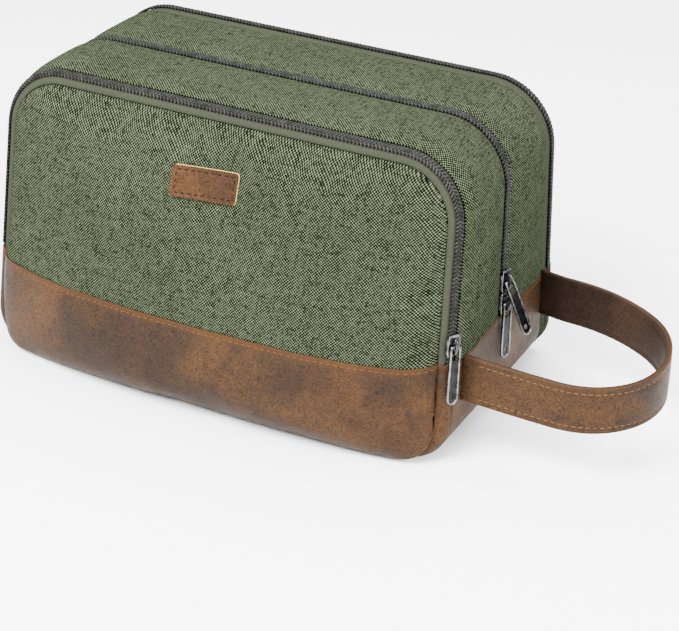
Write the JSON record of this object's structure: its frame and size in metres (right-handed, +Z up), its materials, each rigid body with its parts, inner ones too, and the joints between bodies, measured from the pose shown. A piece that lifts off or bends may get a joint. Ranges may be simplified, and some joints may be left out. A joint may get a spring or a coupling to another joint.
{
  "type": "toiletry bag",
  "caption": "Box-shaped canvas toiletry bag with a leather base, a zipped main compartment, zipped front and rear pockets and a side loop.",
  "frame": {"origin": "centre of the flat base, on the surface that the bag stands on", "axes": "+X to the side with the carrying loop, +Y to the back, +Z up"},
  "size_m": [0.3753, 0.167, 0.1647],
  "materials": {
    "canvas": "coarse basket-woven cotton canvas, muted green",
    "leather": "brown crazy-horse leather, satin, cloudy tan and grey-brown patches",
    "label_leather": "brown leather, blank, with a pale cut edge",
    "zip_tape": "fine woven grey-green tape",
    "zip_coil": "dark grey nylon coil",
    "gunmetal": "gunmetal plating with bright polished rims",
    "lining": "dark smooth woven lining",
    "foam": "soft padding"
  },
  "bodies": {
    "bag": {"base_leather": "leather", "base_lining": "lining", "base_padding": "foam", "front_band_leather": "leather", "front_canvas_lower": "canvas", "front_divider": "lining", "front_leather_panel": "leather", "front_lower_lining": "lining", "front_lower_padding": "foam", "front_zip_inner_coil": "zip_coil", "front_zip_inner_tape": "zip_tape", "front_zip_outer_coil_ends": "zip_coil", "front_zip_outer_tape_ends": "zip_tape", "gusset_front_canvas": "canvas", "gusset_front_lining": "lining", "gusset_front_padding": "foam", "gusset_rear_canvas": "canvas", "gusset_rear_lining": "lining", "gusset_rear_padding": "foam", "main_zip_front_coil": "zip_coil", "main_zip_front_tape": "zip_tape", "main_zip_rear_coil": "zip_coil", "main_zip_rear_tape": "zip_tape", "rear_band_canvas": "canvas", "rear_canvas_lower": "canvas", "rear_divider": "lining", "rear_lower_lining": "lining", "rear_lower_padding": "foam", "rear_zip_inner_coil": "zip_coil", "rear_zip_inner_tape": "zip_tape", "rear_zip_outer_coil_ends": "zip_coil", "rear_zip_outer_tape_ends": "zip_tape", "strap_inner_roots": "leather", "strap_outer_roots": "leather"},
    "front_flap": {"front_canvas_panel": "canvas", "front_panel_padding": "foam", "front_panel_lining": "lining", "label_patch": "label_leather", "front_zip_outer_tape": "zip_tape", "front_zip_outer_coil": "zip_coil"},
    "rear_flap": {"rear_canvas_panel": "canvas", "rear_panel_padding": "foam", "rear_panel_lining": "lining", "rear_zip_outer_tape": "zip_tape", "rear_zip_outer_coil": "zip_coil"},
    "strap": {"strap_outer": "leather", "strap_inner": "leather"},
    "front_slider": {"front_slider": "gunmetal"},
    "front_pull": {"front_pull": "gunmetal"},
    "main_upper_slider": {"main_upper_slider": "gunmetal"},
    "main_upper_pull": {"main_upper_pull": "gunmetal"},
    "main_lower_slider": {"main_lower_slider": "gunmetal"},
    "main_lower_pull": {"main_lower_pull": "gunmetal"},
    "rear_slider": {"rear_slider": "gunmetal"},
    "rear_pull": {"rear_pull": "gunmetal"}
  },
  "joints": [
    {"name": "front_flap_fold", "type": "hinge", "parent": "bag", "child": "front_flap", "pos_m": [0, -0.0849, 0.08], "axis": [1, 0, 0], "range_deg": [0, 90]},
    {"name": "rear_flap_fold", "type": "hinge", "parent": "bag", "child": "rear_flap", "pos_m": [0, 0.0807, 0.08], "axis": [-1, 0, 0], "range_deg": [0, 90]},
    {"name": "strap_bend", "type": "hinge", "parent": "bag", "child": "strap", "pos_m": [0.152, 0, 0.045], "axis": [0, -1, 0], "range_deg": [-20, 60], "stiffness_Nm_per_rad": 0.1, "springref_deg": 5.73},
    {"name": "front_slider_travel", "type": "slide", "parent": "bag", "child": "front_slider", "axis": [-0.0317, 0.1133, 0.9931], "range_m": [0, 0.05]},
    {"name": "front_pull_swing", "type": "hinge", "parent": "front_slider", "child": "front_pull", "pos_m": [0.13831, -0.06277, 0.06781], "axis": [-0.4909, -0.8672, 0.0833], "range_deg": [0, 150]},
    {"name": "main_upper_slider_travel", "type": "slide", "parent": "bag", "child": "main_upper_slider", "axis": [-0.0319, 0.0426, 0.9986], "range_m": [0, 0.042]},
    {"name": "main_upper_pull_swing", "type": "hinge", "parent": "main_upper_slider", "child": "main_upper_pull", "pos_m": [0.13991, 0.00021, 0.07715], "axis": [-0.31, -0.9304, -0.1955], "range_deg": [0, 140]},
    {"name": "main_lower_slider_travel", "type": "slide", "parent": "bag", "child": "main_lower_slider", "axis": [-0.0319, 0.0426, 0.9986], "range_m": [-0.0035, 0]},
    {"name": "main_lower_pull_swing", "type": "hinge", "parent": "main_lower_slider", "child": "main_lower_pull", "pos_m": [0.14031, -0.00033, 0.06445], "axis": [-0.3419, -0.9393, 0.0291], "range_deg": [0, 9]},
    {"name": "rear_slider_travel", "type": "slide", "parent": "bag", "child": "rear_slider", "axis": [0.0319, -0.0288, 0.9991], "range_m": [0, 0.05]},
    {"name": "rear_pull_swing", "type": "hinge", "parent": "rear_slider", "child": "rear_pull", "pos_m": [-0.14058, 0.06569, 0.06763], "axis": [0.0905, 0.9956, 0.0258], "range_deg": [0, 150]}
  ]
}
